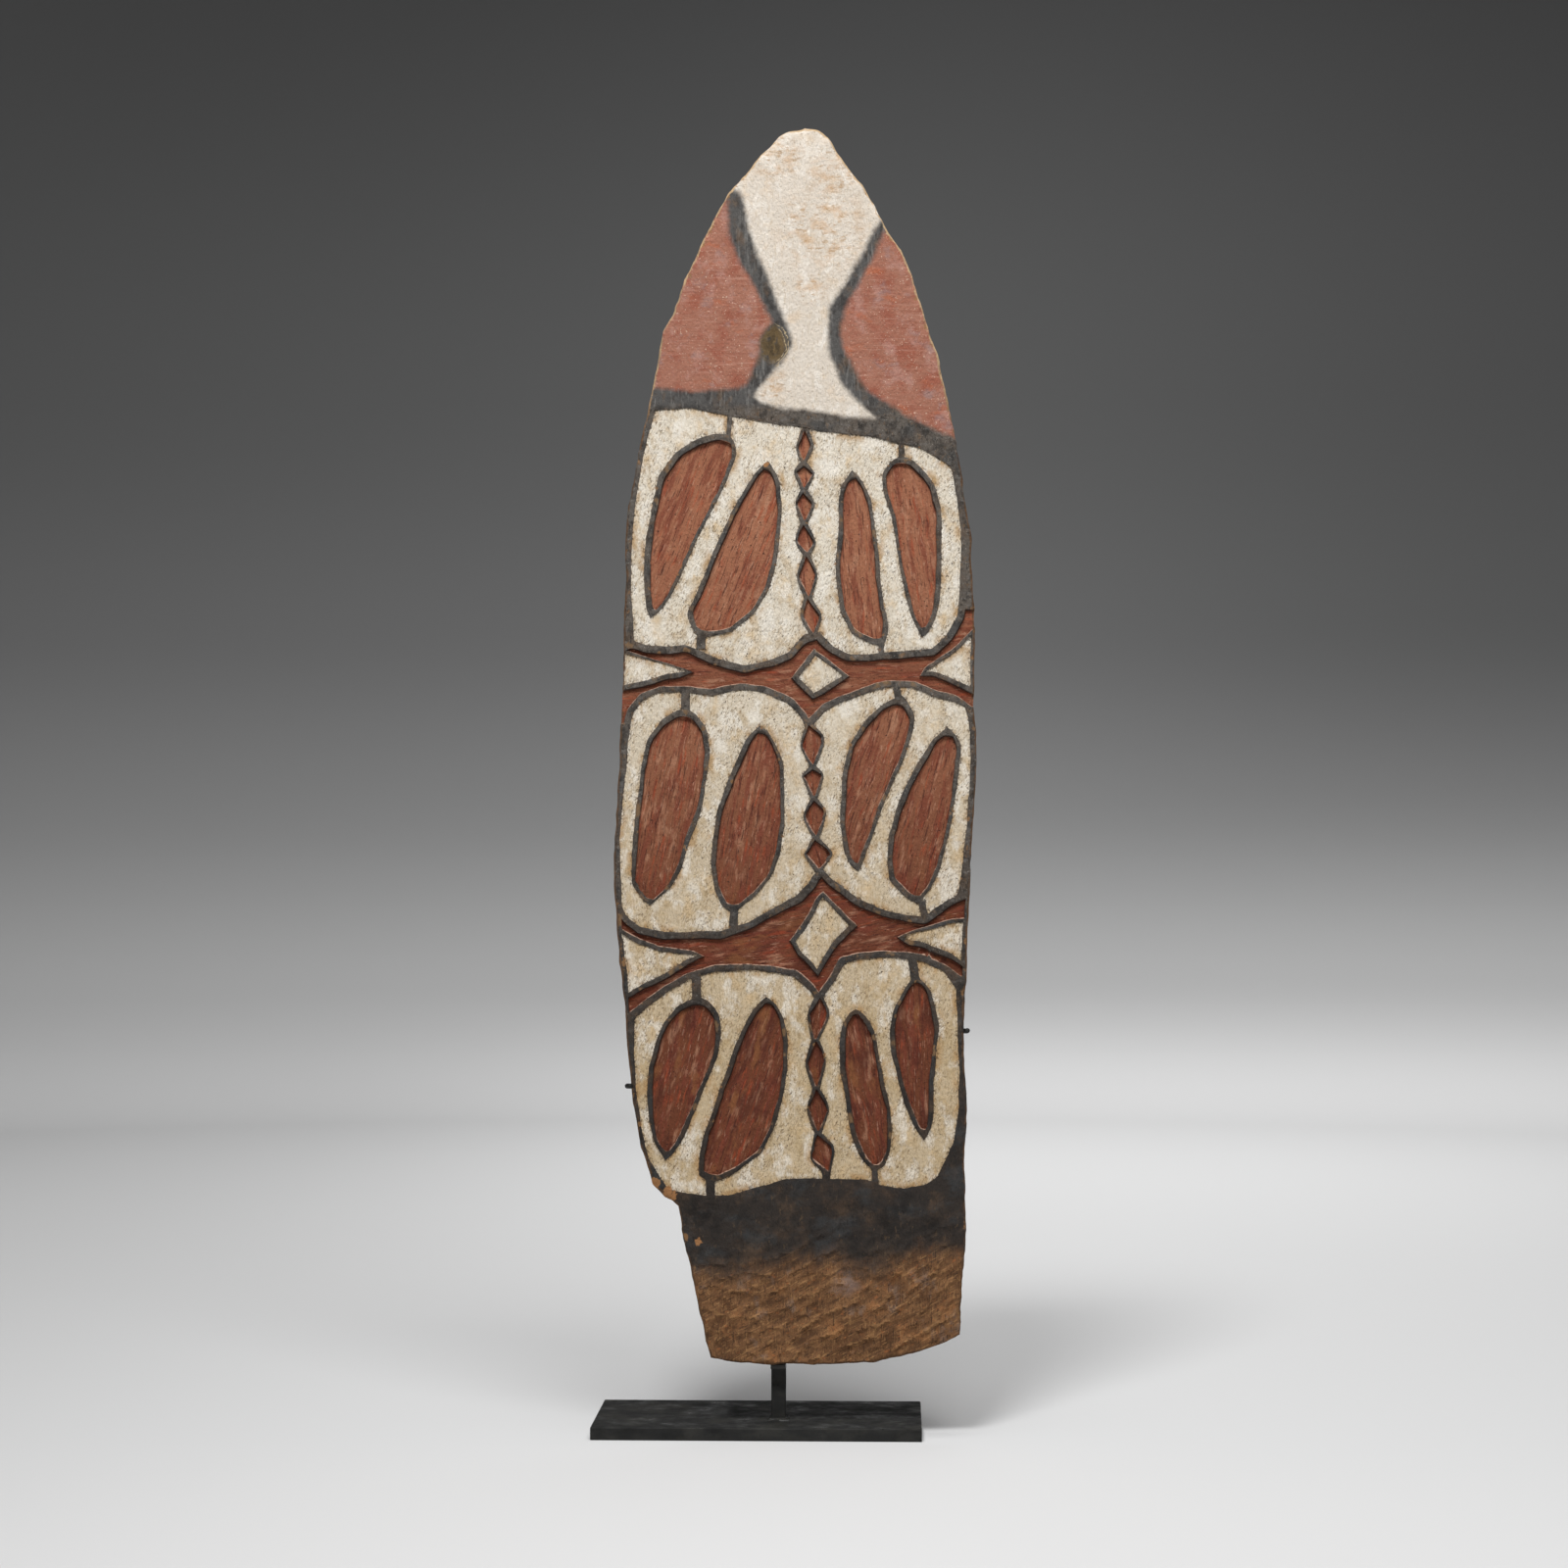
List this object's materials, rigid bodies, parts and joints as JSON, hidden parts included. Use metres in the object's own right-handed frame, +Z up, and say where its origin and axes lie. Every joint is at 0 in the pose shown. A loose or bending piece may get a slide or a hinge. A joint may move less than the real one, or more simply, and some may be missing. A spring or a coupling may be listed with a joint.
{
  "type": "carved wooden shield on a steel display stand",
  "caption": "Tall flat wooden shield, relief-carved and painted with leaf panels, with a grip on the back, leaning on a steel plate stand.",
  "frame": {"origin": "centre of the stand plate's underside, on the surface it stands on", "axes": "+Z up, -Y the way the shield's carved face looks, +X to the right of someone who faces it"},
  "size_m": [0.4767, 0.203, 1.6418],
  "materials": {
    "carved_wood": "adzed wood with white ground, dull red pockets and charcoal ridges in matt earth paint, worn",
    "blackened_steel": "blackened hot-rolled steel, satin"
  },
  "bodies": {
    "root": {"shield_board": "carved_wood", "stand_plate": "blackened_steel", "stand_post": "blackened_steel", "left_arm": "blackened_steel", "right_arm": "blackened_steel"}
  },
  "joints": []
}
